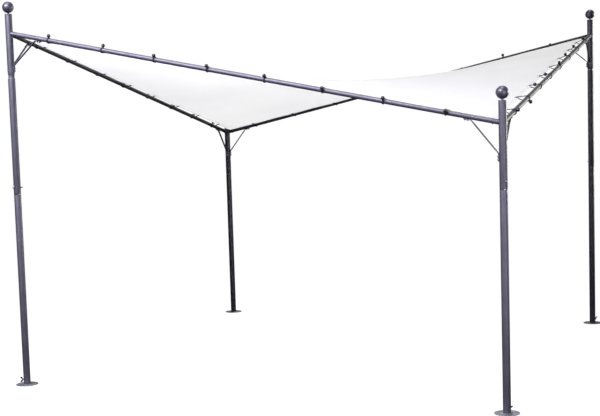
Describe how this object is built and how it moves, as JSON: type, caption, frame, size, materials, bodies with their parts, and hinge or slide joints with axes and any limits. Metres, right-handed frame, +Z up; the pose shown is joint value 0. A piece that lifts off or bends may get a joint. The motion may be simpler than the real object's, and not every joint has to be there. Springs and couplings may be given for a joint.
{
  "type": "garden gazebo",
  "caption": "Square garden gazebo with round dark steel posts, sloping top beams, corner braces and a white canopy stretched in a saddle shape",
  "frame": {"origin": "centre of the square plan, on the ground under the foot plates", "axes": "+Z up; the front side, with the left post high, faces -Y; +X is to the right seen from the front"},
  "size_m": [3.66, 3.66, 2.731],
  "materials": {
    "frame_paint": "glossy anthracite paint with a faint metallic look",
    "foot_paint": "satin silver-grey paint",
    "screw_steel": "dark plated steel, satin",
    "canopy_fabric": "matt white coated polyester"
  },
  "bodies": {
    "root": {"back_beam": "frame_paint", "back_left_ball_cap": "frame_paint", "back_left_brace_back": "frame_paint", "back_left_brace_left": "frame_paint", "back_left_foot_plate": "foot_paint", "back_left_post_bottom": "frame_paint", "back_left_post_top": "frame_paint", "back_left_wing_screw": "screw_steel", "back_right_ball_cap": "frame_paint", "back_right_brace_back": "frame_paint", "back_right_brace_right": "frame_paint", "back_right_foot_plate": "foot_paint", "back_right_post_bottom": "frame_paint", "back_right_post_middle": "frame_paint", "back_right_post_top": "frame_paint", "back_right_wing_screw": "screw_steel", "canopy": "canopy_fabric", "front_beam": "frame_paint", "front_left_ball_cap": "frame_paint", "front_left_brace_front": "frame_paint", "front_left_brace_left": "frame_paint", "front_left_foot_plate": "foot_paint", "front_left_post_bottom": "frame_paint", "front_left_post_middle": "frame_paint", "front_left_post_top": "frame_paint", "front_left_wing_screw": "screw_steel", "front_right_ball_cap": "frame_paint", "front_right_brace_front": "frame_paint", "front_right_brace_right": "frame_paint", "front_right_foot_plate": "foot_paint", "front_right_post_bottom": "frame_paint", "front_right_post_top": "frame_paint", "front_right_wing_screw": "screw_steel", "left_beam": "frame_paint", "right_beam": "frame_paint"}
  },
  "joints": []
}
